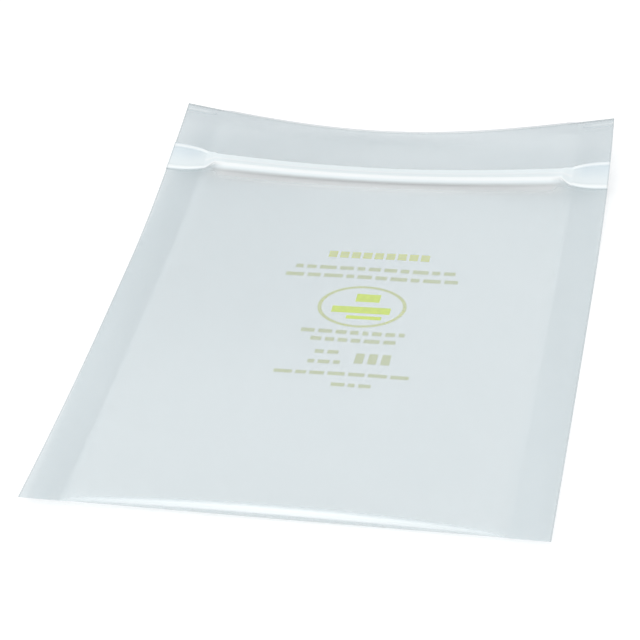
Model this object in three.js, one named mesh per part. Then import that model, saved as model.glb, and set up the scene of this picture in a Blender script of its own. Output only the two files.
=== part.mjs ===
// Flat zip bag of translucent static dissipative film, empty, pressed shut and lying on its back panel.
// One web of film is folded at the bottom and welded up both sides. A press-to-close zip of two
// extruded strips, a rib and a groove, runs across the mouth and is crushed flat where the welds cross it.
// Millimetres. +Y runs from the folded edge to the open lip, +Z is up and z = 0 is the surface it lies on.
import * as THREE from 'three';

// Pouch, measured flat
const bagWidth = 122; // over both side welds
const weldWidth = 10; // one side weld, where two layers are fused
const filmThickness = 0.1; // one layer
const pouchDepth = 153.2; // folded edge to the lower edge of the zip
const lipHeight = 21.6; // upper edge of the zip to the open lip
const restGap = 0.3; // air left between the panels of the emptied pouch

// Zip strips, in section
const tapeWidth = 3.2; // flat base of either strip
const tapeThickness = 0.2;
const stemWidth = 0.3; // rib below its head
const headWidth = 1.0; // arrow head at its barbs
const headTipWidth = 0.4;
const headHeight = 0.4;
const jawThickness = 0.3; // either wall of the groove
const hookHeight = 0.25; // inward hook at a jaw's end
const lockClearance = 0.2; // all round the rib inside the groove
const seatClearance = 0.25; // strip to film
const stripEndGap = 4.5; // end of the strips to the inner border of the weld

// Film over the zip
const bandShoulder = 0.3; // the raised band stands wider than the tapes by this on each side
const bandRamp = 2.6; // the film comes back down within this
const rampKnee = 0.55; // part of the ramp past which it is nearly level
const bandEndRun = 3; // the band sinks to the weld within this
const ridgeHeight = 0.12; // lines that the tape edges and jaws press into the front film
const ridgeHalfWidth = 0.45;
const zipBackShare = 0.4; // part of the zip's thickness that bulges the back panel

// Zip ends crushed by the welds
const crushThickness = 0.15; // extra film on each face
const crushEdge = 1.0; // width over which it runs out
const crushFlare = 2.95; // how many times wider the band is at the bag's edge
const beadHalfWidth = 0.3; // bead squeezed out along either border, before the flare widens it

// How the bag lies
const foldPuff = 3.65; // clear height inside the fold at mid width, over the rest gap
const foldBluntness = 0.7; // how the puff falls off to the welds: 0.5 is an ellipse, 1 a parabola
const foldPuffReach = 38; // the puffed bottom flattens within this
const foldBackShare = 0.5; // part of the puff that bulges the back panel
const foldLiftLeft = 2.7; // height of the folded edge at the left and right sides
const foldLiftRight = 1.5;
const foldCurl = 80; // the folded end comes down to rest within this
const flatRun = 23; // stretch of the back panel that rests flat
const lipLiftLeft = 8.4; // height of the lip at the left side, and so on across to the right side
const lipLiftLeftQuarter = 3.4;
const lipLiftMiddle = 1.8;
const lipLiftRightQuarter = 4.5;
const lipLiftRight = 10.1;

// Fineness of the mesh
const stripSteps = 14;
const weldSteps = 4;
const bandEndSteps = 3;
const foldTurns = 3; // steps from the folded edge round to either panel
const integralSteps = 24;
const slopeStep = 0.01; // half the distance over which a slope is taken
const weldTolerance = 1e-4; // corners closer than this are one

// Sizes that follow
const halfWidth = bagWidth / 2;
const pocketHalf = halfWidth - weldWidth;
const stripHalf = pocketHalf - stripEndGap;
const bandEnd = pocketHalf - bandEndRun;
const bagLength = pouchDepth + tapeWidth + lipHeight;
const tapeHalf = tapeWidth / 2;
const zipCentre = pouchDepth + tapeHalf;
const bandHalf = tapeHalf + bandShoulder;
const lipCurlStart = foldCurl + flatRun;
const lipCurl = bagLength - lipCurlStart;
const jawInner = headWidth / 2 + lockClearance;
const jawOuter = jawInner + jawThickness;
const jawCentre = (jawInner + jawOuter) / 2;
const hookInner = stemWidth / 2 + lockClearance;

// Heights through the closed zip, from the inner face of the back film
const ribTapeTop = seatClearance + tapeThickness;
const hookBottom = ribTapeTop + lockClearance;
const hookTop = hookBottom + hookHeight;
const headBottom = hookTop + lockClearance;
const headTop = headBottom + headHeight;
const grooveTapeBottom = headTop + lockClearance;
const grooveTapeTop = grooveTapeBottom + tapeThickness;
const zipSpace = grooveTapeTop + seatClearance;

const clamp01 = (x) => Math.min(1, Math.max(0, x));
const smooth = (x) => clamp01(x) ** 2 * (3 - 2 * clamp01(x));
const tent = (x) => Math.max(0, 1 - Math.abs(x));
const steps = (from, to, count) =>
  Array.from({ length: count }, (_, i) => from + ((to - from) * (i + 1)) / count);

// A point of the flat bag is (u, v): u across from the middle, v up from the folded edge.

// The folded edge and the lip curl up from the flat stretch as parabolas along v. The folded edge
// is straight across. The lip sags between its corners, as the smoothest curve through five heights
// spaced evenly across it.
const foldCurlShare = (v) => clamp01(1 - v / foldCurl);
const lipCurlShare = (v) => clamp01((v - lipCurlStart) / lipCurl);
const foldMean = (foldLiftLeft + foldLiftRight) / 2;
const foldTilt = (foldLiftRight - foldLiftLeft) / 2;
const lipLifts = [lipLiftLeft, lipLiftLeftQuarter, lipLiftMiddle, lipLiftRightQuarter, lipLiftRight];
const lipSpacing = bagWidth / (lipLifts.length - 1);
const foldEndLift = (u) => foldMean + foldTilt * (u / halfWidth);

// Each height counts by a product that is 1 at its own place across the lip and 0 at the others.
function lipEndLift(u) {
  const place = (u + halfWidth) / lipSpacing;
  const factor = (i, j) => (i === j ? 1 : (place - j) / (i - j));
  const share = (i) => lipLifts.reduce((product, _, j) => product * factor(i, j), 1);
  return lipLifts.reduce((total, height, i) => total + height * share(i), 0);
}

function lift(u, v) {
  return foldEndLift(u) * foldCurlShare(v) ** 2 + lipEndLift(u) * lipCurlShare(v) ** 2;
}

function slopeAcross(u, v) {
  return (lift(u + slopeStep, v) - lift(u - slopeStep, v)) / (2 * slopeStep);
}

function slopeAlong(u, v) {
  const foldSlope = (-2 * foldEndLift(u) * foldCurlShare(v)) / foldCurl;
  return foldSlope + (2 * lipEndLift(u) * lipCurlShare(v)) / lipCurl;
}

// Film doesn't stretch, so a sloping stretch covers less ground: the run is the integral of
// the square root of 1 - slope squared.
function run(length, slopeAt) {
  const step = length / integralSteps;
  let total = 0;
  for (let i = 0; i < integralSteps; i += 1) {
    total += step * Math.sqrt(1 - slopeAt((i + 0.5) * step) ** 2);
  }
  return total;
}

// The puffed fold: a round nose of this inner radius, flat at the welds.
const puff = (u) => foldPuff * Math.max(0, 1 - (u / pocketHalf) ** 2) ** foldBluntness;
const slack = (u) => restGap * smooth((pocketHalf - Math.abs(u)) / bandEndRun);
const noseRadius = (u) => (puff(u) + slack(u)) / 2;
const puffShare = (u, v) => clamp01(1 - (v - noseRadius(u)) / foldPuffReach) ** 2;

// Going round the nose uses up film, which draws the folded edge in.
const drawIn = (u, v) => (Math.PI / 2 - 1) * noseRadius(u) * clamp01(1 - v / foldPuffReach) ** 2;

function ground(u, v) {
  const x = run(u, (across) => slopeAcross(across, v));
  const y = run(v, (along) => slopeAlong(u, along)) + drawIn(u, v) - bagLength / 2;
  return [x, y];
}

// Offset from the middle of the zip band. Over the weld the band flares like a fish tail, fast at
// first and less and less towards the bag's edge.
function flare(u) {
  const left = 1 - clamp01((Math.abs(u) - bandEnd) / (halfWidth - bandEnd));
  return 1 + (crushFlare - 1) * (1 - left ** 3);
}

function bandOffset(u, v) {
  const across = v - zipCentre;
  const edge = bandHalf * flare(u);
  const past = Math.abs(across) - edge;
  return past <= 0 ? across / flare(u) : Math.sign(across) * (bandHalf + past);
}

function bandPlace(u, offset) {
  const past = Math.abs(offset) - bandHalf;
  const across = past <= 0 ? offset * flare(u) : Math.sign(offset) * (bandHalf * flare(u) + past);
  return zipCentre + across;
}

const bandShare = (offset) => clamp01(1 - (Math.abs(offset) - bandHalf) / bandRamp) ** 2;
const bandEndShare = (u) => smooth((pocketHalf - Math.abs(u)) / bandEndRun);
const crushShare = (u) => smooth((Math.abs(u) - bandEnd) / bandEndRun);

// A pair of pressed lines at the same distance on either side of the middle.
const ridgePair = (offset, place, breadth) => ridgeHeight * tent((Math.abs(offset) - place) / breadth);
const zipLines = (offset) =>
  ridgePair(offset, tapeHalf, ridgeHalfWidth) + ridgePair(offset, jawCentre, ridgeHalfWidth);

// Clear height between the two panels, and the thickness of either wall of film.
function gap(u, v) {
  if (Math.abs(u) >= pocketHalf) return 0;
  const offset = bandOffset(u, v);
  const zip = bandEndShare(u) * ((zipSpace - restGap) * bandShare(offset) + zipLines(offset));
  return slack(u) + puff(u) * puffShare(u, v) + zip;
}

function wall(u, v) {
  const offset = bandOffset(u, v);
  const spread = clamp01(1 - (Math.abs(offset) - bandHalf) / crushEdge);
  const bead = ridgePair(offset, tapeHalf, beadHalfWidth);
  return filmThickness + crushShare(u) * (crushThickness * spread + bead);
}

// Heights of the faces of the film, from the lowest up.
function backOuter(u, v) {
  const zipBulge = zipBackShare * (zipSpace - restGap) * bandEndShare(u) * bandShare(bandOffset(u, v));
  return lift(u, v) - zipBulge - foldBackShare * puff(u) * puffShare(u, v);
}
const backInner = (u, v) => backOuter(u, v) + wall(u, v);
const frontInner = (u, v) => backInner(u, v) + gap(u, v);
const frontOuter = (u, v) => frontInner(u, v) + wall(u, v);

// A row is a line across the bag. A panel row gives its v at each u. A fold row is an angle
// round the nose, from 0 at the folded edge to a quarter turn where it meets the panels.
const panelRow = (v) => ({ v: () => v });
const bandRow = (offset) => ({ v: (u) => bandPlace(u, offset) });
const foldRow = (turn) => ({ turn });

const layers = {
  backOuter: { height: backOuter, side: -1, skin: filmThickness },
  backInner: { height: backInner, side: -1, skin: 0 },
  middle: { height: backInner, side: 0, skin: filmThickness },
  frontInner: { height: frontInner, side: 1, skin: 0 },
  frontOuter: { height: frontOuter, side: 1, skin: filmThickness },
};

function filmPoint(u, row, layer) {
  if (row.turn === undefined) {
    const v = row.v(u);
    return [...ground(u, v), layer.height(u, v)];
  }
  const nose = noseRadius(u);
  const radius = nose + layer.skin;
  const v = nose - radius * Math.cos(row.turn);
  const centre = backInner(u, nose) + nose;
  return [...ground(u, v), centre + layer.side * radius * Math.sin(row.turn)];
}

// Rows of the mesh, closer together round the fold and over the zip.
function filmRows() {
  const bandFeatures = [
    bandHalf + bandRamp,
    bandHalf + bandRamp * rampKnee,
    bandHalf + crushEdge,
    bandHalf,
    tapeHalf,
    (tapeHalf + jawCentre) / 2,
    jawCentre,
  ];
  const offsets = [...bandFeatures.map((f) => -f), 0, ...[...bandFeatures].reverse()];
  const noseClear = foldPuff; // first row that is clear of the nose at every u
  const reach = bandHalf + bandRamp;
  const zipFoot = zipCentre - reach;
  const zipHead = zipCentre + reach;
  const beforeZip = steps(lipCurlStart, zipFoot, 5).slice(0, -1);
  const aboveZip = steps(zipHead, bagLength, 3);
  // Rows on either side of the band make room for its flare, less and less with distance.
  const spread = (u) => bandPlace(u, reach) - zipHead;
  const footRow = (v) => ({ v: (u) => v - (spread(u) * (v - lipCurlStart)) / (zipFoot - lipCurlStart) });
  const lipRow = (v) => ({ v: (u) => v + (spread(u) * (bagLength - v)) / (bagLength - zipHead) });
  return [
    ...[0, ...steps(0, Math.PI / 2, foldTurns)].map(foldRow),
    ...[noseClear, ...steps(noseClear, foldCurl / 2, 4), ...steps(foldCurl / 2, foldCurl, 3)].map(panelRow),
    ...steps(foldCurl, lipCurlStart, 2).map(panelRow),
    ...beforeZip.map(footRow),
    ...offsets.map(bandRow),
    ...aboveZip.map(lipRow),
  ];
}

function pocketColumns() {
  const right = steps(bandEnd, pocketHalf, bandEndSteps);
  const left = right.map((u) => -u).reverse();
  const overStrips = [-stripHalf, ...steps(-stripHalf, stripHalf, stripSteps)];
  return [...left, -bandEnd, ...overStrips, bandEnd, ...right];
}

// A closed skin gathered from four-sided patches. Corners that fall together are one vertex.
class Skin {
  constructor() {
    this.places = [];
    this.faces = [];
    this.known = new Map();
  }

  corner(point) {
    const key = point.map((c) => Math.round(c / weldTolerance)).join();
    if (!this.known.has(key)) {
      this.known.set(key, this.places.length / 3);
      this.places.push(...point);
    }
    return this.known.get(key);
  }

  triangle(a, b, c) {
    if (a !== b && b !== c && c !== a) this.faces.push(a, b, c);
  }

  quad(points) {
    const [a, b, c, d] = points.map((p) => this.corner(p));
    this.triangle(a, b, c);
    this.triangle(a, c, d);
  }

  // Joins two lines of points. The outside is to the right of the first line, seen with the
  // second line above it.
  strip(first, second) {
    for (let i = 0; i + 1 < first.length; i += 1) {
      this.quad([first[i], first[i + 1], second[i + 1], second[i]]);
    }
  }

  geometry() {
    const geometry = new THREE.BufferGeometry();
    geometry.setAttribute('position', new THREE.Float32BufferAttribute(this.places, 3));
    geometry.setIndex(this.faces);
    geometry.computeVertexNormals();
    return geometry;
  }
}

function filmGeometry() {
  const skin = new Skin();
  const rows = filmRows();
  const pocket = pocketColumns();
  const leftWeld = [-halfWidth, ...steps(-halfWidth, -pocketHalf, weldSteps)].slice(0, -1);
  const rightWeld = leftWeld.map((u) => -u).reverse();
  const columns = [...leftWeld, ...pocket, ...rightWeld];
  const across = (us, row, layer) => us.map((u) => filmPoint(u, row, layer));
  const along = (u, layer) => rows.map((row) => filmPoint(u, row, layer));
  for (let j = 0; j + 1 < rows.length; j += 1) {
    const [near, far] = [rows[j], rows[j + 1]];
    skin.strip(across(columns, near, layers.frontOuter), across(columns, far, layers.frontOuter));
    skin.strip(across(columns, far, layers.backOuter), across(columns, near, layers.backOuter));
    skin.strip(across(pocket, far, layers.frontInner), across(pocket, near, layers.frontInner));
    skin.strip(across(pocket, near, layers.backInner), across(pocket, far, layers.backInner));
  }
  const lip = rows[rows.length - 1];
  skin.strip(across(columns, lip, layers.frontOuter), across(columns, lip, layers.frontInner));
  skin.strip(across(columns, lip, layers.backInner), across(columns, lip, layers.backOuter));
  skin.strip(along(halfWidth, layers.backOuter), along(halfWidth, layers.middle));
  skin.strip(along(halfWidth, layers.middle), along(halfWidth, layers.frontOuter));
  skin.strip(along(-halfWidth, layers.middle), along(-halfWidth, layers.backOuter));
  skin.strip(along(-halfWidth, layers.frontOuter), along(-halfWidth, layers.middle));
  return skin.geometry();
}

// Sections of the strips: across is the offset from the middle of the zip, up is the height above
// the inner face of the back film. One half is drawn and mirrored.
function mirrored(half) {
  const other = half.map(([across, up]) => [-across, up]).reverse();
  return new THREE.Shape([...half, ...other].map(([across, up]) => new THREE.Vector2(across, up)));
}

function ribSection() {
  return mirrored([
    [tapeHalf, seatClearance],
    [tapeHalf, ribTapeTop],
    [stemWidth / 2, ribTapeTop],
    [stemWidth / 2, headBottom],
    [headWidth / 2, headBottom],
    [headTipWidth / 2, headTop],
  ]);
}

function grooveSection() {
  return mirrored([
    [jawInner, grooveTapeBottom],
    [jawInner, hookTop],
    [hookInner, hookTop],
    [hookInner, hookBottom + hookHeight / 2],
    [hookInner + hookHeight / 2, hookBottom],
    [jawOuter, hookBottom],
    [jawOuter, grooveTapeBottom],
    [tapeHalf, grooveTapeBottom],
    [tapeHalf, grooveTapeTop],
  ]);
}

// A strip is its section drawn out straight, then laid along the zip on the curved back panel.
function stripGeometry(section) {
  const settings = { depth: 2 * stripHalf, steps: stripSteps, bevelEnabled: false };
  const geometry = new THREE.ExtrudeGeometry(section, settings);
  const place = geometry.attributes.position;
  for (let i = 0; i < place.count; i += 1) {
    const u = place.getZ(i) - stripHalf;
    const v = zipCentre + place.getX(i);
    const [x, y] = ground(u, v);
    place.setXYZ(i, x, y, backInner(u, v) + place.getY(i));
  }
  geometry.computeVertexNormals();
  return geometry;
}

function sheetMaterial(color, opacity) {
  const settings = { color, roughness: 0.3, metalness: 0, transparent: true, opacity };
  return new THREE.MeshStandardMaterial({ ...settings, side: THREE.DoubleSide });
}

function named(name, geometry, material) {
  const mesh = new THREE.Mesh(geometry, material);
  mesh.name = name;
  return mesh;
}

const zipMaterial = sheetMaterial(0xeef5f6, 0.85);
const bag = new THREE.Group();
bag.add(named('film_pouch', filmGeometry(), sheetMaterial(0xd9e2e3, 0.7)));
bag.add(named('zip_rib_strip', stripGeometry(ribSection()), zipMaterial));
bag.add(named('zip_groove_strip', stripGeometry(grooveSection()), zipMaterial));

// The origin is under the middle of the bag, on the surface it lies on.
const middle = new THREE.Box3().setFromObject(bag).getCenter(new THREE.Vector3());
bag.position.set(-middle.x, -middle.y, 0);

export default bag;
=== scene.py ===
# %% [markdown]
# A static dissipative zip bag is almost nothing: 0.1 mm of film, two welds and a press-to-close zip.
# Its whole look comes from how the film curls, how light goes through two layers of it, and how the
# zip and the puffed fold catch the light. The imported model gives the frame, with every node in metres.
# The film is made here again with a much finer grid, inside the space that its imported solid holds.

import bpy
import numpy as np
from mathutils import Matrix, Vector


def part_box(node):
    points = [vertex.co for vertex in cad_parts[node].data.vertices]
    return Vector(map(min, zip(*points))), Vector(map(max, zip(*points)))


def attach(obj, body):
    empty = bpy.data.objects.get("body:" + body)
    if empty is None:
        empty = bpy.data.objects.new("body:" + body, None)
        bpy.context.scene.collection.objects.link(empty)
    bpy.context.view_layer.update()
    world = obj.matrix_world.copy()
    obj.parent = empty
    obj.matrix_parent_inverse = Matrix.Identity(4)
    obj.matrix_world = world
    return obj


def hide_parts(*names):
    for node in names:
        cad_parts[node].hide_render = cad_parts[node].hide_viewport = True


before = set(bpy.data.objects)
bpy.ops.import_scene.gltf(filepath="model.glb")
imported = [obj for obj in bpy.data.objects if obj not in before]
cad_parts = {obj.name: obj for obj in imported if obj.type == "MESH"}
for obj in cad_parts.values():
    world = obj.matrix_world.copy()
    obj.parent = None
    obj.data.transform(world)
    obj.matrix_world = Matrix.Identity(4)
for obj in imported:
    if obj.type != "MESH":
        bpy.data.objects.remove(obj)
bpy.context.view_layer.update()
print("packed nodes:", sorted(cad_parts))

# %% [markdown]
# The bag is drawn flat first. A point of it is (u, v) in millimetres: u across from the middle, v up
# from the folded edge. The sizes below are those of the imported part, so that the fine film and the
# packed strips inside it agree to a hundredth of a millimetre.

# %% Sizes of the flat bag, in millimetres
MM = 0.001
BAG_WIDTH = 122.0
WELD_WIDTH = 10.0
FILM = 0.1
POUCH_DEPTH = 153.2
TAPE_WIDTH = 3.2
LIP_HEIGHT = 21.6
REST_GAP = 0.3
ZIP_SPACE = 2.15
JAW_CENTRE = 0.85

HALF_WIDTH = BAG_WIDTH / 2
POCKET_HALF = HALF_WIDTH - WELD_WIDTH
TAPE_HALF = TAPE_WIDTH / 2
ZIP_CENTRE = POUCH_DEPTH + TAPE_HALF
BAG_LENGTH = POUCH_DEPTH + TAPE_WIDTH + LIP_HEIGHT
print("flat bag", BAG_WIDTH, "x", BAG_LENGTH, "mm")

# %% [markdown]
# An empty bag keeps a memory of the roll and the stack it came from. Here a short stretch of the back
# rests flat. From there the folded end and the lip end curl up as parabolas along v, the plainest curve
# that a light springy sheet takes. Across u the fold's lift changes evenly from one corner to the other,
# and the lip runs smoothly through five heights: its corners are highest, and it hangs between them.

# %% How the film curls
FOLD_LIFT_LEFT = 2.7
FOLD_LIFT_RIGHT = 1.5
FOLD_CURL = 80.0
FLAT_RUN = 23.0
LIP_LIFTS = (8.4, 3.4, 1.8, 4.5, 10.1)

LIP_CURL_START = FOLD_CURL + FLAT_RUN
LIP_CURL = BAG_LENGTH - LIP_CURL_START
FOLD_MEAN = (FOLD_LIFT_LEFT + FOLD_LIFT_RIGHT) / 2
FOLD_TILT = (FOLD_LIFT_RIGHT - FOLD_LIFT_LEFT) / 2
LIP_SPACING = BAG_WIDTH / (len(LIP_LIFTS) - 1)


def clamp01(x):
    return np.clip(x, 0.0, 1.0)


def smooth(x):
    """An S-shaped step from 0 at x = 0 to 1 at x = 1: x squared times (3 - 2 x)."""
    return clamp01(x) ** 2 * (3.0 - 2.0 * clamp01(x))


def lip_end_lift(u):
    """The five heights of the lip, each times a product that is 1 at its own place and 0 at the rest."""
    place = (u + HALF_WIDTH) / LIP_SPACING
    knots = range(len(LIP_LIFTS))
    shares = [np.prod([(place - j) / (i - j) for j in knots if j != i], axis=0) for i in knots]
    return sum(height * share for height, share in zip(LIP_LIFTS, shares))


def lift(u, v):
    """Height of the curled film: each end's lift times its squared share of the way to that end."""
    fold_end = FOLD_MEAN + FOLD_TILT * u / HALF_WIDTH
    fold_share = clamp01(1.0 - v / FOLD_CURL)
    lip_share = clamp01((v - LIP_CURL_START) / LIP_CURL)
    return fold_end * fold_share ** 2 + lip_end_lift(u) * lip_share ** 2


# %% [markdown]
# Film bends but doesn't stretch. Where it slopes it covers less ground, so the ground position is the
# integral of the square root of (1 - slope squared), taken across for x and along for y.

# %% From the flat bag to the ground
INTEGRAL_STEPS = 24
SLOPE_STEP = 0.01
FOLD_PUFF = 3.65
FOLD_BLUNTNESS = 0.7
FOLD_PUFF_REACH = 38.0
BAND_END_RUN = 3.0


def slope(u, v, along):
    """Slope of the curl, by the difference of two heights a hundredth of a millimetre apart."""
    du, dv = (0.0, SLOPE_STEP) if along else (SLOPE_STEP, 0.0)
    return (lift(u + du, v + dv) - lift(u - du, v - dv)) / (2.0 * SLOPE_STEP)


def puff(u):
    """Clear height inside the fold: fullest at mid width and nothing at the welds."""
    return FOLD_PUFF * np.maximum(0.0, 1.0 - (u / POCKET_HALF) ** 2) ** FOLD_BLUNTNESS


def inward(u):
    """An S-shaped step from 0 at the inner border of a weld to 1 a few millimetres inside it."""
    return smooth((POCKET_HALF - np.abs(u)) / BAND_END_RUN)


def nose_radius(u):
    return (puff(u) + REST_GAP * inward(u)) / 2.0


def ground(u, v):
    """Ground position of (u, v): the two integrals, and the pull of the puffed fold on its edge."""
    shares = (np.arange(INTEGRAL_STEPS) + 0.5) / INTEGRAL_STEPS
    x = sum(np.sqrt(1.0 - slope(u * s, v, False) ** 2) for s in shares) * u / INTEGRAL_STEPS
    y = sum(np.sqrt(1.0 - slope(u, v * s, True) ** 2) for s in shares) * v / INTEGRAL_STEPS
    draw_in = (np.pi / 2.0 - 1.0) * nose_radius(u) * clamp01(1.0 - v / FOLD_PUFF_REACH) ** 2
    return x, y + draw_in - BAG_LENGTH / 2.0


# %% [markdown]
# The zip stands up as a band across the bag. Pressed lines show where the tape edges and the jaws of
# the groove push into the film. At the side welds the hot bar has crushed the strips flat, so there the
# band thins and spreads like a fish tail, with a squeezed-out bead along both borders.

# %% The zip band and its crushed ends
BAND_SHOULDER = 0.3
BAND_RAMP = 2.6
RIDGE_HEIGHT = 0.12
RIDGE_HALF_WIDTH = 0.45
ZIP_BACK_SHARE = 0.4
CRUSH_THICKNESS = 0.15
CRUSH_EDGE = 1.0
CRUSH_FLARE = 2.95
BEAD_HALF_WIDTH = 0.3
RIDGE_SHARPNESS = 2.5

BAND_HALF = TAPE_HALF + BAND_SHOULDER
BAND_END = POCKET_HALF - BAND_END_RUN


def flare(u):
    """Widening over the weld, fast at first: 1 less the cube of what is left of the way to the edge."""
    left = 1.0 - clamp01((np.abs(u) - BAND_END) / (HALF_WIDTH - BAND_END))
    return 1.0 + (CRUSH_FLARE - 1.0) * (1.0 - left ** 3)


def band_offset(u, v):
    """Distance from the middle of the zip, with the flare taken out inside the band."""
    across = v - ZIP_CENTRE
    past = np.abs(across) - BAND_HALF * flare(u)
    return np.where(past <= 0.0, across / flare(u), np.sign(across) * (BAND_HALF + past))


def band_place(u, offset):
    """The v of a line that keeps this offset from the middle of the zip as the band flares."""
    past = np.abs(offset) - BAND_HALF
    flared = offset * flare(u)
    outside = np.sign(offset) * (BAND_HALF * flare(u) + past)
    return ZIP_CENTRE + np.where(past <= 0.0, flared, outside)


def band_share(offset):
    return clamp01(1.0 - (np.abs(offset) - BAND_HALF) / BAND_RAMP) ** 2


def ridge_pair(offset, place, breadth):
    """Two pressed lines, each a small bell, at the same distance on either side of the middle."""
    return RIDGE_HEIGHT * np.exp(-RIDGE_SHARPNESS * ((np.abs(offset) - place) / breadth) ** 2)


def zip_lines(offset):
    """Four pressed lines: one over each tape edge and one over each jaw of the groove."""
    return ridge_pair(offset, TAPE_HALF, RIDGE_HALF_WIDTH) + ridge_pair(offset, JAW_CENTRE, RIDGE_HALF_WIDTH)


# %% [markdown]
# The two panels touch almost everywhere in an emptied bag, but never quite: a little trapped air leaves
# soft dents that wander over the front. They are a sum of a few long waves, kept small and only ever
# upward, so the front never cuts into the back.

# %% Air between the panels and thickness of the film
DENT_HEIGHT = 0.22
DENT_WAVES = ((47.0, 31.0, 0.4), (-38.0, 53.0, 2.1), (29.0, -24.0, 4.0))
DENT_FADE = 20.0
FOLD_BACK_SHARE = 0.5


def dents(u, v):
    """Mean of three plane waves, moved up so that it runs from 0 to the dent height."""
    turns = [2.0 * np.pi * (u / across + v / along) + start for across, along, start in DENT_WAVES]
    waves = sum(np.sin(turn) for turn in turns)
    rim = smooth((POUCH_DEPTH - BAND_RAMP - v) / DENT_FADE)
    return DENT_HEIGHT * 0.5 * (1.0 + waves / len(DENT_WAVES)) * inward(u) * rim


def puff_share(u, v):
    return clamp01(1.0 - (v - nose_radius(u)) / FOLD_PUFF_REACH) ** 2


def gap(u, v):
    """Clear height between the panels: trapped air, the puffed fold, dents and the zip."""
    offset = band_offset(u, v)
    zip_height = (ZIP_SPACE - REST_GAP) * band_share(offset) + zip_lines(offset)
    open_height = REST_GAP * inward(u) + puff(u) * puff_share(u, v) + dents(u, v) + inward(u) * zip_height
    return np.where(np.abs(u) >= POCKET_HALF, 0.0, open_height)


def wall(u, v):
    """Thickness of one layer: the film, and what the crushed zip adds over the welds."""
    offset = band_offset(u, v)
    spread = clamp01(1.0 - (np.abs(offset) - BAND_HALF) / CRUSH_EDGE)
    crushed = smooth((np.abs(u) - BAND_END) / BAND_END_RUN)
    return FILM + crushed * (CRUSH_THICKNESS * spread + ridge_pair(offset, TAPE_HALF, BEAD_HALF_WIDTH))


def back_inner(u, v):
    """Inner face of the back panel: the curl, less what the zip and the fold bulge downward."""
    zip_bulge = ZIP_BACK_SHARE * (ZIP_SPACE - REST_GAP) * inward(u) * band_share(band_offset(u, v))
    fold_bulge = FOLD_BACK_SHARE * puff(u) * puff_share(u, v)
    return lift(u, v) - zip_bulge - fold_bulge + wall(u, v)


def back_outer(u, v):
    return back_inner(u, v) - wall(u, v)


def front_inner(u, v):
    return back_inner(u, v) + gap(u, v)


def front_outer(u, v):
    return front_inner(u, v) + wall(u, v)


# %% [markdown]
# Each face of the film is one grid of points. Its first rows go round the puffed fold as a quarter
# circle, and the rest climb the panel. The front and the back share the points at the folded edge, and
# inside the pouch they share the points at the inner border of each weld, so the skin closes by itself.

# %% Grids of the four faces
FOLD_TURNS = 7
NOSE_CLEAR = FOLD_PUFF
FOLD_ROWS_END = 20.0
FOLD_ROWS, LOW_ROWS, MIDDLE_ROWS, LIP_ROWS = 10, 36, 20, 16
RAMP_ROWS, BAND_ROWS = 9, 27


def panel_rows():
    """Lines across the panel, as v at each u: even steps, closer near the fold and over the zip."""
    reach = BAND_HALF + BAND_RAMP
    low = np.concatenate([
        np.linspace(NOSE_CLEAR, FOLD_ROWS_END, FOLD_ROWS),
        np.linspace(FOLD_ROWS_END, LIP_CURL_START, LOW_ROWS)[1:],
    ])
    middle = np.linspace(LIP_CURL_START, ZIP_CENTRE - reach, MIDDLE_ROWS)[1:-1]
    offsets = np.concatenate([
        np.linspace(-reach, -BAND_HALF, RAMP_ROWS)[:-1],
        np.linspace(-BAND_HALF, BAND_HALF, BAND_ROWS),
        np.linspace(BAND_HALF, reach, RAMP_ROWS)[1:],
    ])
    high = np.linspace(ZIP_CENTRE + reach, BAG_LENGTH, LIP_ROWS)[1:]

    def rows(u):
        spread = band_place(u, np.array(reach)) - (ZIP_CENTRE + reach)
        below = (middle - LIP_CURL_START) / (ZIP_CENTRE - reach - LIP_CURL_START)
        above = (BAG_LENGTH - high) / (BAG_LENGTH - ZIP_CENTRE - reach)
        return np.concatenate([
            np.repeat(low[:, None], len(u), 1),
            middle[:, None] - below[:, None] * spread[None, :],
            band_place(u[None, :], offsets[:, None]),
            high[:, None] + above[:, None] * spread[None, :],
        ])

    return rows


def face_grid(u, rows, height, side, skin):
    """Points of one face: the nose of the fold as part of a circle, then the panel at its heights."""
    turns = np.linspace(0.0, np.pi / 2.0, FOLD_TURNS + 1)[:, None]
    nose = nose_radius(u)[None, :]
    centre = back_inner(u[None, :], nose) + nose
    nose_v = nose - (nose + skin) * np.cos(turns)
    nose_z = centre + side * (nose + skin) * np.sin(turns)
    panel_v = rows(u)
    panel_z = height(u[None, :], panel_v)
    v = np.concatenate([nose_v, panel_v])
    z = np.concatenate([nose_z, panel_z])
    across = np.broadcast_to(u[None, :], v.shape)
    x, y = ground(across, v)
    return {"place": np.stack([x, y, z], -1), "flat": np.stack([across, v], -1)}


# %% [markdown]
# A patch is a list of four-cornered faces between two lines of points. Corners that fall together are
# found by rounding to a ten-thousandth of a millimetre and are made one vertex, which closes the skin.

# %% Join the faces into one closed skin
ROUNDING = 1e-4


def patch(first, second):
    """Faces between two grids of points of the same size, as four corners each."""
    corners = [first[:, :-1], first[:, 1:], second[:, 1:], second[:, :-1]]
    return np.stack(corners, 2).reshape(-1, 4, first.shape[-1])


def sheet(grid, flip=False):
    near, far = grid[:-1], grid[1:]
    return patch(far, near) if flip else patch(near, far)


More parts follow.
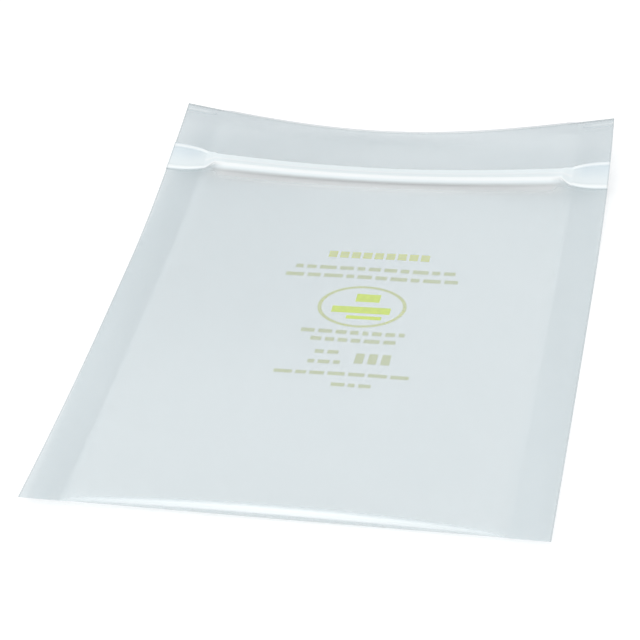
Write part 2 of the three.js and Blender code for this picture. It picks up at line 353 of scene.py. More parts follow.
def welded_mesh(name, faces, slots, sharp_degrees):
    """One mesh from loose four-cornered faces. Its UV map is (u, v) scaled to 0..1.

    It gives back the piece and, for each vertex, what its corners hold after their place.
    """
    corners = faces.reshape(-1, faces.shape[-1])
    keys = np.round(corners[:, :3] / ROUNDING).astype(np.int64)
    _, first, index = np.unique(keys, axis=0, return_index=True, return_inverse=True)
    quads = index.reshape(-1, 4)
    triangles = np.concatenate([quads[:, [0, 1, 2]], quads[:, [0, 2, 3]]])
    slots = np.concatenate([slots, slots])
    a, b, c = triangles.T
    whole = (a != b) & (b != c) & (c != a)
    triangles, slots = triangles[whole], slots[whole]
    mesh = bpy.data.meshes.new(name)
    mesh.from_pydata((corners[first, :3] * MM).tolist(), [], triangles.tolist())
    flat = corners[first, 3:5]
    share = flat / (BAG_WIDTH, BAG_LENGTH) + (0.5, 0.0)
    layer = mesh.uv_layers.new(name="flat")
    layer.data.foreach_set("uv", share[triangles.reshape(-1)].reshape(-1))
    mesh.polygons.foreach_set("material_index", slots)
    mesh.polygons.foreach_set("use_smooth", np.ones(len(triangles), dtype=bool))
    mesh.set_sharp_from_angle(angle=np.radians(sharp_degrees))
    piece = bpy.data.objects.new(name, mesh)
    bpy.context.scene.collection.objects.link(piece)
    print(name, len(mesh.vertices), "vertices", len(mesh.polygons), "triangles")
    return piece, corners[first, 3:]


def store(piece, name, values):
    """Keeps one number at each vertex, for the piece's materials to read."""
    attribute = piece.data.attributes.new(name, "FLOAT", "POINT")
    attribute.data.foreach_set("value", np.ascontiguousarray(values, dtype=np.float32))


# %% [markdown]
# The columns run from side to side: a few over each weld, close ones where the ends of the zip are
# crushed, and even ones over the pocket. The skin is listed as front, back and inside, because those
# three are finished a little differently.

# %% Columns of the grids and faces of the film
WELD_COLUMNS = 9
BAND_END_COLUMNS = 9
POCKET_COLUMNS = 70


def columns():
    weld = np.linspace(-HALF_WIDTH, -POCKET_HALF, WELD_COLUMNS)
    end = np.linspace(-POCKET_HALF, -BAND_END, BAND_END_COLUMNS)[1:]
    middle = np.linspace(-BAND_END, BAND_END, POCKET_COLUMNS)[1:-1]
    return np.concatenate([weld, end, middle, -end[::-1], -weld[::-1]])


FRONT, BACK, INSIDE = 0, 1, 2


def film_faces():
    """All faces of the film, and the slot of each: the panels, the rims of the lip, the cut sides."""
    u = columns()
    rows = panel_rows()
    kinds = {
        "front_outer": (front_outer, 1.0, FILM),
        "front_inner": (front_inner, 1.0, 0.0),
        "middle": (back_inner, 0.0, FILM),
        "back_inner": (back_inner, -1.0, 0.0),
        "back_outer": (back_outer, -1.0, FILM),
    }
    grids = {}
    for kind, (height, side, skin) in kinds.items():
        face = face_grid(u, rows, height, side, skin)
        grids[kind] = np.concatenate([face["place"] + shift, face["flat"]], -1)
    pocket = slice(WELD_COLUMNS - 1, len(u) - WELD_COLUMNS + 1)
    lip = {kind: grid[-1:] for kind, grid in grids.items()}
    left = {kind: grid[:, 0][None] for kind, grid in grids.items()}
    right = {kind: grid[:, -1][None] for kind, grid in grids.items()}
    front = [
        sheet(grids["front_outer"]),
        patch(lip["front_outer"], lip["front_inner"]),
        patch(right["middle"], right["front_outer"]),
        patch(left["front_outer"], left["middle"]),
    ]
    back = [
        sheet(grids["back_outer"], flip=True),
        patch(lip["back_inner"], lip["back_outer"]),
        patch(right["back_outer"], right["middle"]),
        patch(left["middle"], left["back_outer"]),
    ]
    inside = [
        sheet(grids["front_inner"][:, pocket], flip=True),
        sheet(grids["back_inner"][:, pocket]),
    ]
    sides = {FRONT: front, BACK: back, INSIDE: inside}
    faces = np.concatenate(front + back + inside)
    slots = np.repeat(list(sides), [sum(map(len, patches)) for patches in sides.values()])
    return faces, slots


def centre_shift():
    """What moves the laid-out bag so that its box is centred on the origin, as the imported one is."""
    place = face_grid(columns(), panel_rows(), front_outer, 1.0, FILM)["place"]
    low, high = place.reshape(-1, 3).min(0), place.reshape(-1, 3).max(0)
    return -0.5 * (low + high) * (1.0, 1.0, 0.0)


# %% [markdown]
# Three numbers are kept at each vertex for the materials to read: how milky the film looks where it
# stands up, with a painted highlight on its upward side; the distance from the middle of the zip; and
# painted shade, darker where the film lifts off, with a slow darkening toward the upper left. A hazy
# film that lies on a pale table takes on the table's brightness, and loses it as it rises; the painted
# shade stands for that.

# %% Numbers kept at the vertices
STEEP_FROM, STEEP_TO = 0.04, 0.4
UNDER_FROM, UNDER_TO = -0.1, 0.25


def milk_and_highlight_share(piece, flat):
    """How milky the film looks where it stands up: an S of 1 less the upward part of its normal.

    It is partly the milkier look of film seen at a slant and partly a painted highlight, so it fades out
    where the film turns underneath, and it counts only round the fold and over the zip.
    """
    normals = np.empty(3 * len(piece.data.vertices))
    piece.data.vertex_normals.foreach_get("vector", normals)
    upward = normals.reshape(-1, 3)[:, 2]
    steep = smooth((1.0 - upward - STEEP_FROM) / (STEEP_TO - STEEP_FROM))
    above = smooth((upward - UNDER_FROM) / (UNDER_TO - UNDER_FROM))
    offset = np.abs(band_offset(flat[:, 0], flat[:, 1]))
    near_zip = inward(flat[:, 0]) * (offset < BAND_HALF + BAND_RAMP)
    near_fold = puff(flat[:, 0]) / FOLD_PUFF * (flat[:, 1] < FOLD_PUFF_REACH)
    return steep * above * np.maximum(near_zip, near_fold)


# Painted shade where the film lifts off, and a slow darkening toward the upper left.
TONE_PER_MM = 0.08
EDGE_TONE, EDGE_TONE_RUN = 0.5, 10.0
DRIFT_TONE, DRIFT_FROM, DRIFT_RUN = 0.16, 40.0, 60.0


def shade_and_drift_tone(flat):
    """Painted shade, darker by a share for each millimetre of height at the lip and at the welds of the
    fold, and by an S-shaped step over the last of the lip; and a slow darkening toward the upper left.
    """
    u, v = flat.T
    lip_height = lip_end_lift(u) * clamp01((v - LIP_CURL_START) / LIP_CURL) ** 2
    fold_height = (FOLD_MEAN + FOLD_TILT * u / HALF_WIDTH) * clamp01(1.0 - v / FOLD_CURL) ** 2
    risen = TONE_PER_MM * (lip_height + fold_height * (1.0 - inward(u)))
    edge = EDGE_TONE * smooth(1.0 - (BAG_LENGTH - v) / EDGE_TONE_RUN)
    drift = DRIFT_TONE * smooth(0.5 - u / HALF_WIDTH) * smooth((v - DRIFT_FROM) / DRIFT_RUN)
    return clamp01(risen + edge + drift)


# %% Make the film
shift = centre_shift()
film, film_flat = welded_mesh("film_bag", *film_faces(), sharp_degrees=50.0)
store(film, "milk_and_highlight", milk_and_highlight_share(film, film_flat))
store(film, "band", band_offset(film_flat[:, 0], film_flat[:, 1]))
store(film, "shade_and_drift", shade_and_drift_tone(film_flat))
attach(film, "root")
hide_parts("film_pouch")
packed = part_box("film_pouch")
print("centre shift in mm", shift.round(4))
print("packed film box in mm", [tuple(round(c / MM, 2) for c in corner) for corner in packed])

# %% [markdown]
# Shader maths is easier to read as sums than as boxes and wires. This small class wraps a socket, so
# that an expression on values adds the Math nodes it needs, and one method adds any other node.

# %% A socket that does sums


class Value:
    def __init__(self, tree, socket):
        self.tree = tree
        self.socket = socket

    def maths(self, operation, *values):
        return self.node("ShaderNodeMath", {"operation": operation}, dict(enumerate(values)))

    def node(self, kind, settings=None, inputs=None, output=0):
        """Adds a node: its settings first, then the values or links of its sockets."""
        made = self.tree.nodes.new(kind)
        for name, setting in (settings or {}).items():
            setattr(made, name, setting)
        for name, value in (inputs or {}).items():
            plug(self.tree, made.inputs[name], value)
        return Value(self.tree, made.outputs[output])

    def __add__(self, other):
        return self.maths("ADD", self, other)

    def __radd__(self, other):
        return self.maths("ADD", other, self)

    def __sub__(self, other):
        return self.maths("SUBTRACT", self, other)

    def __rsub__(self, other):
        return self.maths("SUBTRACT", other, self)

    def __mul__(self, other):
        return self.maths("MULTIPLY", self, other)

    def __rmul__(self, other):
        return self.maths("MULTIPLY", other, self)

    def size(self):
        return self.maths("ABSOLUTE", self)

    def most(self, other):
        return self.maths("MAXIMUM", self, other)

    def step(self, low, high):
        """0 below low, 1 above high and an S between them."""
        inputs = {"Value": self, "From Min": low, "From Max": high}
        return self.node("ShaderNodeMapRange", {"interpolation_type": "SMOOTHSTEP"}, inputs)

    def mix(self, first, second):
        """A colour that goes from the first to the second as this value goes from 0 to 1."""
        inputs = {"Factor": self, 6: first, 7: second}
        return self.node("ShaderNodeMix", {"data_type": "RGBA"}, inputs, output=2)


def plug(tree, socket, value):
    if isinstance(value, Value):
        tree.links.new(value.socket, socket)
    else:
        socket.default_value = value


def linear(red, green, blue):
    """A colour given as 0..255 on screen, as the linear light that a shader takes."""
    screen = np.array([red, green, blue]) / 255.0
    light = np.where(screen <= 0.04045, screen / 12.92, ((screen + 0.055) / 1.055) ** 2.4)
    return (*light.tolist(), 1.0)


def new_material(name, alpha=1.0, **constants):
    """A material with one Principled shader, its constants set on the shader's own sockets."""
    material = bpy.data.materials.new(name)
    material.use_nodes = True
    tree = material.node_tree
    shader = tree.nodes["Principled BSDF"]
    shader.inputs["Alpha"].default_value = alpha
    for socket, constant in constants.items():
        shader.inputs[socket.replace("_", " ")].default_value = constant
    return material, tree, shader


def flat_millimetres(tree):
    """The piece's own UV map as (u, v) of the flat bag, in millimetres."""
    start = Value(tree, tree.nodes.new("ShaderNodeUVMap").outputs["UV"])
    start.socket.node.uv_map = "flat"
    across = start.node("ShaderNodeSeparateXYZ", None, {"Vector": start}, output="X")
    along = start.node("ShaderNodeSeparateXYZ", None, {"Vector": start}, output="Y")
    return (across - 0.5) * BAG_WIDTH, along * BAG_LENGTH


def noise(tree, scale, detail, stretch=(1.0, 1.0, 1.0)):
    """Noise on Object coordinates, in cycles a metre, drawn out along an axis by the stretch."""
    start = Value(tree, tree.nodes.new("ShaderNodeTexCoord").outputs["Object"])
    placed = start.node("ShaderNodeMapping", None, {"Vector": start, "Scale": stretch})
    inputs = {"Vector": placed, "Scale": scale, "Detail": detail}
    return start.node("ShaderNodeTexNoise", {"noise_dimensions": "3D"}, inputs, output="Fac")


def attribute(tree, name):
    """A number kept at each vertex of the piece."""
    reader = tree.nodes.new("ShaderNodeAttribute")
    reader.attribute_name = name
    return Value(tree, reader.outputs["Fac"])


def bumped(height, strength, distance):
    """The normal of a surface with this height on it, the distance in metres."""
    inputs = {"Height": height, "Strength": strength, "Distance": distance}
    return height.node("ShaderNodeBump", None, inputs, output="Normal")


# %% [markdown]
# Dissipative film is hazy, faintly blue-grey and slick. Each layer lets most light through and sends a
# little back, so the alpha sits on its outer face and the inner face adds next to nothing. Where the
# film stands up, round the fold and beside the zip, one looks through more of it and it turns milky,
# and a painted highlight lightens the side of it that faces up.
# The welds are a touch greyer, with faint lengthwise marks of the sealing bar.

# %% Colours of the film
FILM_LOW = linear(214, 232, 238)
FILM_HIGH = linear(232, 246, 250)
WELD_COLOUR = linear(178, 196, 202)
TAIL_COLOUR = linear(222, 236, 243)
MILKY_COLOUR = linear(240, 248, 250)
# Colour of the painted highlights: zip lines, beads, steep film, corner glints, and painted light at the
# zip's foot.
HIGHLIGHT_COLOUR = linear(252, 255, 255)
# Painted shade where the film lifts off the table.
LIFT_SHADE_COLOUR = linear(160, 180, 188)
# Painted shade along the cut edges.
EDGE_SHADE_COLOUR = linear(140, 150, 150)

# %% [markdown]
# The cut edges are painted darker than the film, as painted shade for looking along the sheet there.
# Just inside the lip, at the two corners, a painted highlight stands for the glint that the stiff
# double film of the weld catches where it bends; the mesh itself doesn't bend there. Each mask is a
# smooth step of the flat place of a point, in millimetres from the pocket's side, the cut side or the lip.

# %% Masks of the welds and the edges
WELD_BORDER = (-0.5, 0.7)
# Painted shade along the cut sides and the lip.
RIM_LINE, RIM_DARKNESS = (-0.5, -0.1), 0.3
LIP_LINE, LIP_DARKNESS = (-0.8, -0.3), 0.5
# Painted highlight at the corners just inside the lip.
GLINT_LOW, GLINT_HIGH, GLINT_RUN = (-3.2, -1.8), (-1.8, -0.9), 5.0


def edge_masks(u, v):
    """How far a point belongs to a weld, to the painted shade of a cut side or of the cut lip, and to a
    corner's painted highlight.
    """
    past_pocket = u.size() - POCKET_HALF
    from_lip = v - BAG_LENGTH
    weld = past_pocket.step(*WELD_BORDER)
    rim = (u.size() - HALF_WIDTH).step(*RIM_LINE) * RIM_DARKNESS
    lip = from_lip.step(*LIP_LINE) * LIP_DARKNESS
    corner = past_pocket.step(0.0, GLINT_RUN)
    glint = from_lip.step(*GLINT_LOW) * (1.0 - from_lip.step(*GLINT_HIGH)) * corner
    return weld, rim, lip, glint


# %% [markdown]
# The masks of the zip all read one number, the distance from its middle with the flare taken out. The
# band is milky between its two borders. A thin painted highlight runs along the middle and a broad one
# along the side that faces the fold, where the film bends down to the pocket, and painted light at its
# foot lifts the shade there.

# %% Masks of the zip
BAND_ABOVE = (1.8, 3.46)
BAND_BELOW = (2.7, 4.2)
TAIL_BORDER = (1.75, 2.3)
# Painted highlights: a thin line, a broad line and the beads.
THIN_LINE, THIN_SHINE = (0.1, 0.45), 0.5
BROAD_LINE, BROAD_SHINE, BROAD_PLACE = (0.1, 0.7), 0.9, 2.1
BEAD_LINE, BEAD_SHINE = (0.05, 0.35), 0.8
# Painted light at the zip's foot, against the shade there.
GLOW_BELOW = (4.0, 10.0)
TAIL_FADE = (-1.4, 0.9)
TAIL_START, TAIL_RUN = -1.0, 4.5


def zip_masks(u, offset, weld):
    """How milky the zip's band is, its painted highlights on the lines and beads, the painted light at its
    foot, and how dull its ends.
    """
    below = 0.0 - offset
    from_middle = offset.size()
    end = u.size().step(BAND_END - BAND_END_RUN, POCKET_HALF)
    far = u.size().step(POCKET_HALF + TAIL_START, POCKET_HALF + TAIL_RUN)
    band = (1.0 - offset.step(*BAND_ABOVE)) * (1.0 - below.step(*BAND_BELOW))
    band = band * (1.0 - end * from_middle.step(*TAIL_BORDER))
    glow = (1.0 - below.step(*GLOW_BELOW)) * below.step(*BAND_BELOW) * (1.0 - end)
    thin = 1.0 - from_middle.step(*THIN_LINE)
    broad = 1.0 - (offset + BROAD_PLACE).size().step(*BROAD_LINE)
    bead = (1.0 - (from_middle - TAPE_HALF).size().step(*BEAD_LINE)) * weld
    dull = far * (1.0 - below.step(*TAIL_FADE))
    lines = (thin * THIN_SHINE + broad * BROAD_SHINE) * (1.0 - weld) + bead * BEAD_SHINE
    return band, lines * band, bead, dull, glow


# %% [markdown]
# The finish lays these masks over one another: the clear film with its slow clouds, then the welds, the
# painted shade where the film lifts, the milky zip, the painted highlights and last the painted shade of
# the cut edges. The cover, which is the alpha of one layer, grows in the same places. Long shallow
# clouds and a fine grain feed the bump.

# %% The film
FILM_ALPHA = 0.26
FILM_IOR = 1.5
CLOUD_SCALE, STREAK_SCALE, GRAIN_SCALE = 26.0, 90.0, 1400.0
LENGTHWISE = (1.0, 0.06, 1.0)
SEAL_SHARE = 0.8
# How strongly the painted highlights and the painted light at the zip's foot lighten the film.
MILK_SHINE, GLINT_SHINE, GLOW_SHINE = 0.5, 0.6, 0.9
WELD_BAND_LOSS = 0.5
BEAD_COVER, TAIL_COVER, MILK_COVER = 0.3, 0.22, 0.6
TONE_COVER, WELD_COVER, EDGE_COVER, GLINT_COVER, SHADE_AND_DRIFT_COVER = 0.05, 0.02, 0.2, 0.25, 0.06
FILM_BUMP, FILM_BUMP_DEPTH = 0.25, 0.0004


def film_colour(tone, streaks, weld, shade_and_drift, white, dull):
    """The clear film, then its welds, the painted shade where it lifts, and its milky zip with the painted
    highlight of the steep film, each laid over the last.
    """
    clear = (0.5 + tone).mix(FILM_LOW, FILM_HIGH)
    seal = (weld * (SEAL_SHARE + (streaks - 0.5) * SEAL_SHARE)).mix(clear, WELD_COLOUR)
    return white.mix(shade_and_drift.mix(seal, LIFT_SHADE_COLOUR), dull.mix(MILKY_COLOUR, TAIL_COLOUR))


def zip_cover(band_cover, weld, band, bead, dull, milk_and_highlight):
    """What the zip and the steep parts add to the cover of a layer; a weld takes part of the band's."""
    over_band = band * (band_cover - weld * (band_cover * WELD_BAND_LOSS))
    over_tail = band * weld * (bead * BEAD_COVER + (1.0 - dull) * TAIL_COVER)
    return (over_band + over_tail).most(milk_and_highlight * MILK_COVER)


def film_material(name, band_cover):
    """An outer face of the film; the band cover says how much the zip behind it hides."""
    material, tree, shader = new_material(name, IOR=FILM_IOR)
    u, v = flat_millimetres(tree)
    milk_and_highlight, shade_and_drift = attribute(tree, "milk_and_highlight"), attribute(tree, "shade_and_drift")
    clouds = noise(tree, CLOUD_SCALE, 3.0)
    streaks = noise(tree, STREAK_SCALE, 2.0, stretch=LENGTHWISE)
    grain = noise(tree, GRAIN_SCALE, 2.0)
    weld, rim, lip, glint = edge_masks(u, v)
    band, lines, bead, dull, glow = zip_masks(u, attribute(tree, "band"), weld)
    tone = (clouds - 0.5) * 0.5 + (streaks - 0.5) * 0.25
    colour = film_colour(tone, streaks, weld, shade_and_drift, band.most(milk_and_highlight), dull)
    # Painted highlights and painted light, then painted shade of the cut edges over all.
    painted_light = lines + milk_and_highlight * MILK_SHINE + glint * GLINT_SHINE + glow * GLOW_SHINE
    plug(tree, shader.inputs["Base Color"], rim.most(lip).mix(painted_light.mix(colour, HIGHLIGHT_COLOUR), EDGE_SHADE_COLOUR))
    plug(tree, shader.inputs["Roughness"], 0.28 + grain * 0.1 + weld * 0.06)
    edges = (rim + lip) * EDGE_COVER + glint * GLINT_COVER
    thick = tone * TONE_COVER + weld * WELD_COVER + edges + shade_and_drift * SHADE_AND_DRIFT_COVER
    cover = zip_cover(band_cover, weld, band, bead, dull, milk_and_highlight)
    plug(tree, shader.inputs["Alpha"], FILM_ALPHA + thick + cover)
    height = clouds * 0.5 + grain * 0.02 + streaks * weld * 0.1
    plug(tree, shader.inputs["Normal"], bumped(height, FILM_BUMP, FILM_BUMP_DEPTH))
    return material


INSIDE_CLOUD_SCALE = 40.0
INSIDE_ALPHA = 0.02


def inside_material():
    """The inner faces of the film: the same plastic, nearly all clear."""
    material, tree, shader = new_material("film_inside", IOR=FILM_IOR, Roughness=0.3)
    clouds = noise(tree, INSIDE_CLOUD_SCALE, 2.0)
    plug(tree, shader.inputs["Base Color"], clouds.mix(FILM_LOW, FILM_HIGH))
    plug(tree, shader.inputs["Alpha"], INSIDE_ALPHA + clouds * INSIDE_ALPHA)
    return material


FRONT_BAND_COVER, BACK_BAND_COVER = 0.66, 0.08
film.data.materials.append(film_material("front_film", FRONT_BAND_COVER))
film.data.materials.append(film_material("back_film", BACK_BAND_COVER))
film.data.materials.append(inside_material())

# %% [markdown]
# The two zip strips are extruded from an unfilled, milky grade of the same plastic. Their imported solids
# have the right section, so they stay and only get a finish: long extrusion lines, a soft gloss and an
# alpha of a half, so that they don't throw a hard shadow on the film in front of them.

# %% The zip strips
STRIP_NODES = ("zip_rib_strip", "zip_groove_strip")
STRIP_ALPHA = 0.5
STRIP_LOW = linear(226, 234, 238)
STRIP_HIGH = linear(246, 250, 251)
STRIP_LINE_SCALE, STRIP_CLOUD_SCALE = 900.0, 60.0
CROSSWISE = (0.03, 1.0, 1.0)
STRIP_BUMP, STRIP_BUMP_DEPTH = 0.3, 0.0001


def strip_material():
    """Milky plastic with fine lines along the strip, which runs across the bag."""
    material, tree, shader = new_material("milky_strip", alpha=STRIP_ALPHA, IOR=FILM_IOR)
    lines = noise(tree, STRIP_LINE_SCALE, 2.0, stretch=CROSSWISE)
    clouds = noise(tree, STRIP_CLOUD_SCALE, 2.0)
    tone = (lines - 0.5) * 0.5 + clouds
    plug(tree, shader.inputs["Base Color"], tone.mix(STRIP_LOW, STRIP_HIGH))
    plug(tree, shader.inputs["Roughness"], 0.3 + lines * 0.15)
    plug(tree, shader.inputs["Normal"], bumped(lines, STRIP_BUMP, STRIP_BUMP_DEPTH))
    return material


milky = strip_material()
for name in STRIP_NODES:
    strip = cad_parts[name]
    strip.data.materials.clear()
    strip.data.materials.append(milky)
    print(name, "keeps its packed shape,", len(strip.data.polygons), "faces")

# %% [markdown]
# The front carries a print in thin pale yellow-green ink. This one is a plain design with no words and
# no sign: a heading of blocks, rows of dashes, a ring round three plain bars, and three more blocks.
# Each shape is a small grid on the flat bag, laid on the front film as a slab a few hundredths of a
# millimetre thick, so it follows every dent.

# %% Shapes of the print
INK_LIFT = 0.012
INK_THICKNESS = 0.02
INK_CELL = 1.2
PRINT_MIDDLE = 4.3
RING_STEPS = 73
DASH_GAP = 0.55
SHORTEST_DASH = 0.35
MOST_DASHES = 60


def bar(u, v, width, height):
    """A plain rectangle: its middle plus its half sizes times (a, b), each from -1 to 1."""
    across, along = (max(2, int(np.ceil(side / INK_CELL)) + 1) for side in (width, height))
    return (lambda a, b: (u + a * width / 2.0, v + b * height / 2.0)), (across, along), False


def ring(u, v, half_width, half_height, line):
    """An ellipse, half a line wider or narrower as b goes from -1 to 1; a goes round it."""
    def shape(a, b):
        wide, high = half_width + b * line / 2.0, half_height + b * line / 2.0
        return u - wide * np.sin(np.pi * a), v + high * np.cos(np.pi * a)
    return shape, (RING_STEPS, 2), True


def dashes(middle, v, length, height, seed, longest):
    """A row of bars of uneven length with small gaps between them, centred on the middle."""
    gap = height * DASH_GAP
    widths = np.random.default_rng(seed).uniform(SHORTEST_DASH, 1.0, MOST_DASHES) * longest
    ends = np.cumsum(widths + gap)
    count = int(np.searchsorted(ends, length))
    widths, ends = widths[:count], ends[:count]
    middles = middle - (ends[-1] - gap) / 2.0 + ends - gap - widths / 2.0
    return [bar(place, v, width, height) for place, width in zip(middles, widths)]


def slab(piece, heaviness):
    """Closed faces of one printed shape: its top, its underside and its rim. The ink is on the top."""
    shape, (across, along), closed = piece
    a, b = np.meshgrid(np.linspace(-1.0, 1.0, across), np.linspace(-1.0, 1.0, along))
    u, v = shape(a, b)
    x, y = ground(u, v)
    level = front_outer(u, v) + INK_LIFT
    low = np.stack([x + shift[0], y + shift[1], level, u, v, np.zeros_like(u)], -1)
    high = low + (0.0, 0.0, INK_THICKNESS, 0.0, 0.0, heaviness)
    faces = [sheet(high), sheet(low, flip=True), patch(low[:1], high[:1]), patch(high[-1:], low[-1:])]
    if not closed:
        faces.append(patch(high[:, :1].swapaxes(0, 1), low[:, :1].swapaxes(0, 1)))
        faces.append(patch(low[:, -1:].swapaxes(0, 1), high[:, -1:].swapaxes(0, 1)))
    return np.concatenate(faces)


# %% [markdown]
# The layout keeps the weight of such a print: a heading, two long rows, the ring, short rows and marks.
# The places are millimetres on the flat bag, across from the middle of the print and up from the fold.
# Each row of dashes has a place across and up, a length, a height, a seed and a longest dash.

# %% Layout of the print
HEAVY, HEADING, MIDDLING, LIGHT = 0.97, 0.4, 0.34, 0.24
HEADING_BLOCKS, HEADING_START, HEADING_STEP = 9, -12.2, 3.05
MARK_BLOCKS, MARK_START, MARK_STEP = 3, 2.6, 3.3
ROWS = (
    (0.0, 107.8, 44.0, 1.7, 3, 5.0),
    (-0.4, 103.9, 50.0, 1.7, 4, 5.0),
    (-1.0, 78.3, 28.0, 1.7, 5, 4.0),
    (-0.4, 74.8, 25.0, 1.7, 6, 4.0),
    (-6.0, 69.2, 9.0, 1.6, 7, 3.0),
    (-6.0, 64.8, 9.0, 1.6, 8, 3.0),
    (-0.8, 59.8, 37.5, 1.5, 9, 5.0),
    (2.4, 55.2, 13.0, 1.5, 10, 3.5),
)


def print_layout():
    """Every shape of the print with the heaviness of its ink."""
    middle = PRINT_MIDDLE
    first = middle + HEADING_START
    heading = [bar(first + HEADING_STEP * i, 114.4, 2.3, 3.0) for i in range(HEADING_BLOCKS)]
    rows = [dash for across, *rest in ROWS for dash in dashes(middle + across, *rest)]
    marks = [bar(middle + MARK_START + MARK_STEP * i, 66.9, 2.2, 4.6) for i in range(MARK_BLOCKS)]
    bars = ((0.4, 94.2, 6.2, 3.6), (-0.6, 88.6, 15.0, 2.9), (0.6, 85.2, 9.0, 1.5))
    centre = [bar(middle + across, *rest) for across, *rest in bars]
    rim = [ring(middle - 0.6, 90.2, 10.9, 9.0, 1.0)]
    return (heading, HEADING), (rows, LIGHT), (marks, LIGHT), (centre, HEAVY), (rim, MIDDLING)


def print_faces():
    """The faces of all the shapes, in the order of the layout."""
    inked = [(piece, heaviness) for shapes, heaviness in print_layout() for piece in shapes]
    return np.concatenate([slab(piece, heaviness) for piece, heaviness in inked])


# %% [markdown]
# The ink is thin, so it is partly clear and its cover is uneven: thin lines take less of it than solid
# fields. Its heaviness is kept at each vertex, and fine noise makes it patchy. Real ink tints the light
# that goes through it, where an alpha only dims it, so this slab is left out of shadows and bounces.

# %% The ink
INK_COLOUR = linear(212, 232, 112)
INK_PALE = linear(248, 255, 125)
INK_IOR = 1.45
INK_PATCH_SCALE, INK_WIDE_SCALE = 900.0, 120.0
PALE_BELOW, FULL_ABOVE = 0.45, 0.9


def ink_material():
    """Thin yellow-green ink, paler where its cover is light."""
    material, tree, shader = new_material("yellow_green_ink", IOR=INK_IOR)
    patchy = noise(tree, INK_PATCH_SCALE, 3.0)
    wide = noise(tree, INK_WIDE_SCALE, 2.0)
    heaviness = attribute(tree, "cover")
    plug(tree, shader.inputs["Base Color"], heaviness.step(PALE_BELOW, FULL_ABOVE).mix(INK_PALE, INK_COLOUR))
    plug(tree, shader.inputs["Roughness"], 0.35 + patchy * 0.2)
    plug(tree, shader.inputs["Alpha"], heaviness * (0.72 + 0.3 * wide + 0.25 * (patchy - 0.5)))
    return material


ink_faces = print_faces()
ink_slots = np.zeros(len(ink_faces), dtype=int)
ink, ink_kept = welded_mesh("front_print", ink_faces, ink_slots, sharp_degrees=40.0)
store(ink, "cover", ink_kept[:, 2])
ink.data.materials.append(ink_material())
ink.visible_shadow = False
ink.visible_diffuse = False
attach(ink, "root")

# %% [markdown]
# The floor is a plain pale sheet that shows as white. For camera, glossy and transmission rays it adds
# a little light of its own, so that it reads as white around the bag and still keeps the bag's shadow.

# %% Floor
FLOOR_HALF = 3.0
FLOOR_DROP = 0.0002
FLOOR_COLOUR = (0.8, 0.8, 0.8, 1.0)
FLOOR_GLOW = 0.35
WHITE = (1.0, 1.0, 1.0, 1.0)


def floor_material():
    material = bpy.data.materials.new("pale_floor")
    material.use_nodes = True
    tree = material.node_tree
    tree.nodes.clear()
    path = tree.nodes.new("ShaderNodeLightPath")
    camera = Value(tree, path.outputs["Is Camera Ray"])
    seen = camera.most(Value(tree, path.outputs["Is Glossy Ray"]))
    seen = seen.most(Value(tree, path.outputs["Is Transmission Ray"]))
    matt = camera.node("ShaderNodeBsdfDiffuse", None, {"Color": FLOOR_COLOUR})
    glow = camera.node("ShaderNodeEmission", None, {"Color": WHITE, "Strength": seen * FLOOR_GLOW})
    both = camera.node("ShaderNodeAddShader", None, {0: matt, 1: glow})
    surface = tree.nodes.new("ShaderNodeOutputMaterial")
    tree.links.new(both.socket, surface.inputs["Surface"])
    return material


def floor_sheet():
    mesh = bpy.data.meshes.new("floor")
    corners = [(-1, -1), (1, -1), (1, 1), (-1, 1)]
    places = [(x * FLOOR_HALF, y * FLOOR_HALF, -FLOOR_DROP) for x, y in corners]
    mesh.from_pydata(places, [], [(0, 1, 2, 3)])
    mesh.materials.append(floor_material())
    floor = bpy.data.objects.new("floor", mesh)
    bpy.context.scene.collection.objects.link(floor)
    return floor


floor_sheet()

# %% [markdown]
# Plain studio light: an even pale world, a large soft lamp high at the left front, and a smaller low one
# straight in front. The low lamp lights the nose of the fold and the near side of the zip, whose
# highlights are also painted on the film.

# %% Light
WORLD_COLOUR = (0.98, 0.99, 1.0, 1.0)
WORLD_STRENGTH = 0.8


def soft_lamp(name, place, aim, width, watts):
    lamp = bpy.data.lights.new(name, "AREA")
    lamp.shape = "SQUARE"
    lamp.size = width
    lamp.energy = watts
    holder = bpy.data.objects.new(name, lamp)
    bpy.context.scene.collection.objects.link(holder)
    way = Vector(aim) - Vector(place)
    holder.matrix_world = Matrix.Translation(place) @ way.to_track_quat("-Z", "Y").to_matrix().to_4x4()
    return holder


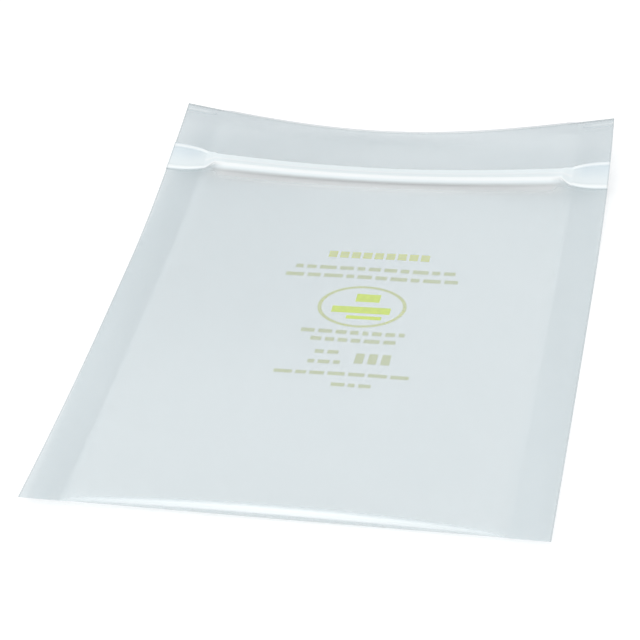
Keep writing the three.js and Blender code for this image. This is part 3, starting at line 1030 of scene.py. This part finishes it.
soft_lamp("high_lamp", place=(-0.25, -0.85, 0.95), aim=(0.0, 0.0, 0.0), width=0.8, watts=4.0)
soft_lamp("front_lamp", place=(0.1, -1.2, 0.5), aim=(0.0, -0.05, 0.0), width=0.6, watts=1.5)

world = bpy.data.worlds.new("studio")
world.use_nodes = True
sky = world.node_tree.nodes["Background"]
sky.inputs["Color"].default_value = WORLD_COLOUR
sky.inputs["Strength"].default_value = WORLD_STRENGTH
bpy.context.scene.world = world
bpy.context.scene.view_settings.view_transform = "Standard"

# %% [markdown]
# The camera is fitted to the four corners and four edges of the bag: it stands 33 degrees above the
# table and 12 degrees round to the right of the bag's own axis, and leans 3 degrees.

# %% Camera
PICTURE_SIDE = 640
FOCAL_PIXELS = 2500.0
SENSOR_MM = 36.0
CAMERA_TURN = np.radians(11.923)
CAMERA_RISE = np.radians(33.449)
CAMERA_LEAN = np.radians(-3.085)
CAMERA_DISTANCE = 632.05
CAMERA_AIM = np.array([-6.054, -5.132, 0.0])


def place_camera():
    """Looks along the way that the turn and the rise give, with the picture leaned about it."""
    ahead = np.array([
        -np.sin(CAMERA_TURN) * np.cos(CAMERA_RISE),
        np.cos(CAMERA_TURN) * np.cos(CAMERA_RISE),
        -np.sin(CAMERA_RISE),
    ])
    level = np.array([np.cos(CAMERA_TURN), np.sin(CAMERA_TURN), 0.0])
    upright = np.cross(level, ahead)
    right = np.cos(CAMERA_LEAN) * level + np.sin(CAMERA_LEAN) * upright
    up = np.cos(CAMERA_LEAN) * upright - np.sin(CAMERA_LEAN) * level
    stand = (CAMERA_AIM + shift - ahead * CAMERA_DISTANCE) * MM
    data = bpy.data.cameras.new("camera")
    data.sensor_width = SENSOR_MM
    data.lens = FOCAL_PIXELS / PICTURE_SIDE * SENSOR_MM
    camera = bpy.data.objects.new("camera", data)
    bpy.context.scene.collection.objects.link(camera)
    turned = Matrix(np.stack([right, up, -ahead], 1).tolist()).to_4x4()
    camera.matrix_world = Matrix.Translation(stand.tolist()) @ turned
    return camera


bpy.context.scene.camera = place_camera()
